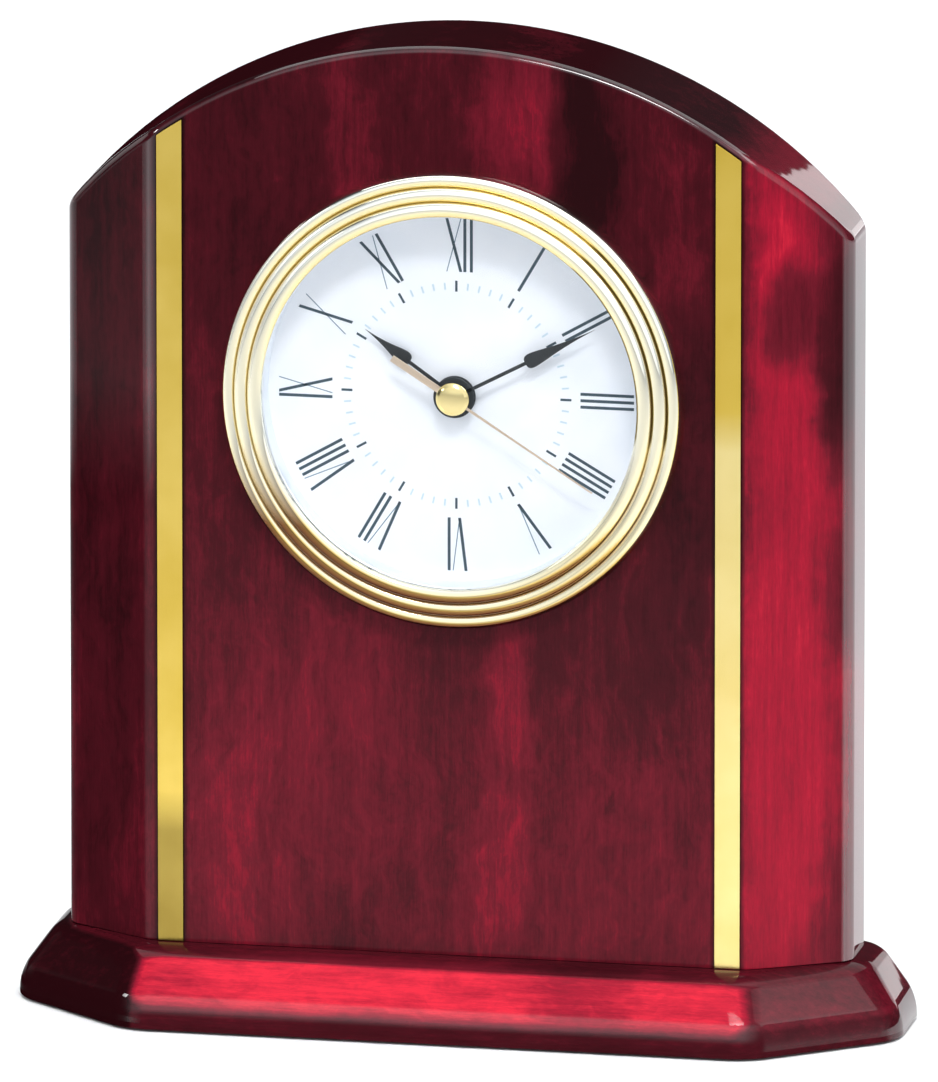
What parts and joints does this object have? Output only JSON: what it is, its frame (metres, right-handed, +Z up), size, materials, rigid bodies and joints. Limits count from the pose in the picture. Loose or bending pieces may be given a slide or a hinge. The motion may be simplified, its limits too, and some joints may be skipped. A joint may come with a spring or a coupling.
{
  "type": "desk clock",
  "caption": "Arched lacquered wood desk clock on a stepped base, with brass strips, a stepped gold bezel, a Roman dial and a working quartz gear train.",
  "frame": {"origin": "centre of the clock's bounding box on the surface it stands on", "axes": "+Z up, the dial faces -Y, +X to the viewer's right when facing the dial"},
  "size_m": [0.1778, 0.0436, 0.1986],
  "materials": {
    "rosewood": "thick clear gloss lacquer over red mottled veneer",
    "brass": "polished flat strip",
    "gold": "mirror polish",
    "glass": "clear flat lens",
    "dial": "matte white with printed numerals",
    "black_hand": "satin black",
    "pale_gold": "pale gold",
    "felt": "pressed felt",
    "steel": "bright",
    "black_plastic": "fine moulded texture",
    "rubber": "matte",
    "plate_plastic": "moulded",
    "wheel_plastic": "moulded",
    "board": "solder mask",
    "copper": "enamelled wire",
    "magnet": "sintered",
    "cell": "plain sleeve"
  },
  "bodies": {
    "case": {"case_body": "rosewood", "base_plinth": "rosewood", "trim_strip_left": "brass", "trim_strip_right": "brass", "base_felt": "felt", "base_screw_left": "steel", "base_screw_right": "steel", "bezel": "gold", "crystal": "glass", "sight_ring": "steel", "dial": "dial", "insert_cup": "black_plastic", "insert_gasket": "rubber", "battery": "cell", "contact_positive": "steel", "contact_negative": "steel", "front_plate": "plate_plastic", "back_plate": "plate_plastic", "plate_screw_1": "steel", "plate_screw_2": "steel", "plate_screw_3": "steel", "circuit_board": "board", "quartz_can": "steel", "stator": "steel", "coil_core": "steel", "coil_bobbin": "black_plastic", "coil_winding": "copper"},
    "rotor": {"rotor_pinion": "wheel_plastic", "rotor_magnet": "magnet"},
    "intermediate": {"intermediate_wheel": "wheel_plastic"},
    "seconds": {"second_wheel": "wheel_plastic", "second_hand": "pale_gold", "hand_cap": "gold"},
    "third": {"third_wheel": "wheel_plastic"},
    "minutes": {"centre_wheel": "wheel_plastic", "cannon_pinion": "brass", "minute_hand": "black_hand"},
    "setting": {"minute_wheel": "wheel_plastic", "set_knob": "black_plastic"},
    "hours": {"hour_wheel": "wheel_plastic", "hour_hand": "black_hand"},
    "door": {"battery_door": "black_plastic"}
  },
  "joints": [
    {"name": "second_hand_turn", "type": "hinge", "parent": "case", "child": "seconds", "pos_m": [0.001, -0.0089, 0.1282], "axis": [0, 1, 0], "continuous": true},
    {"name": "intermediate_turn", "type": "hinge", "parent": "case", "child": "intermediate", "pos_m": [0.001, -0.0089, 0.14038], "axis": [0, 1, 0], "continuous": true},
    {"name": "rotor_turn", "type": "hinge", "parent": "case", "child": "rotor", "pos_m": [0.001, -0.0089, 0.14758], "axis": [0, 1, 0], "continuous": true},
    {"name": "third_turn", "type": "hinge", "parent": "case", "child": "third", "pos_m": [-0.0105, -0.0089, 0.13239], "axis": [0, 1, 0], "continuous": true},
    {"name": "minute_hand_turn", "type": "hinge", "parent": "case", "child": "minutes", "pos_m": [0.001, -0.0089, 0.1282], "axis": [0, 1, 0], "continuous": true},
    {"name": "setting_knob_turn", "type": "hinge", "parent": "case", "child": "setting", "pos_m": [0.01278, -0.0089, 0.13369], "axis": [0, 1, 0], "continuous": true},
    {"name": "hour_hand_turn", "type": "hinge", "parent": "case", "child": "hours", "pos_m": [0.001, -0.0089, 0.1282], "axis": [0, 1, 0], "continuous": true},
    {"name": "battery_door_lift", "type": "slide", "parent": "case", "child": "door", "axis": [0, 1, 0], "range_m": [0, 0.012]}
  ],
  "couplings": [
    {"joint": "intermediate_turn", "follows": "second_hand_turn", "ratio": -6},
    {"joint": "rotor_turn", "follows": "second_hand_turn", "ratio": 30},
    {"joint": "third_turn", "follows": "second_hand_turn", "ratio": -0.13333},
    {"joint": "minute_hand_turn", "follows": "second_hand_turn", "ratio": 0.016667},
    {"joint": "setting_knob_turn", "follows": "second_hand_turn", "ratio": -0.0055556},
    {"joint": "hour_hand_turn", "follows": "second_hand_turn", "ratio": 0.0013889}
  ]
}
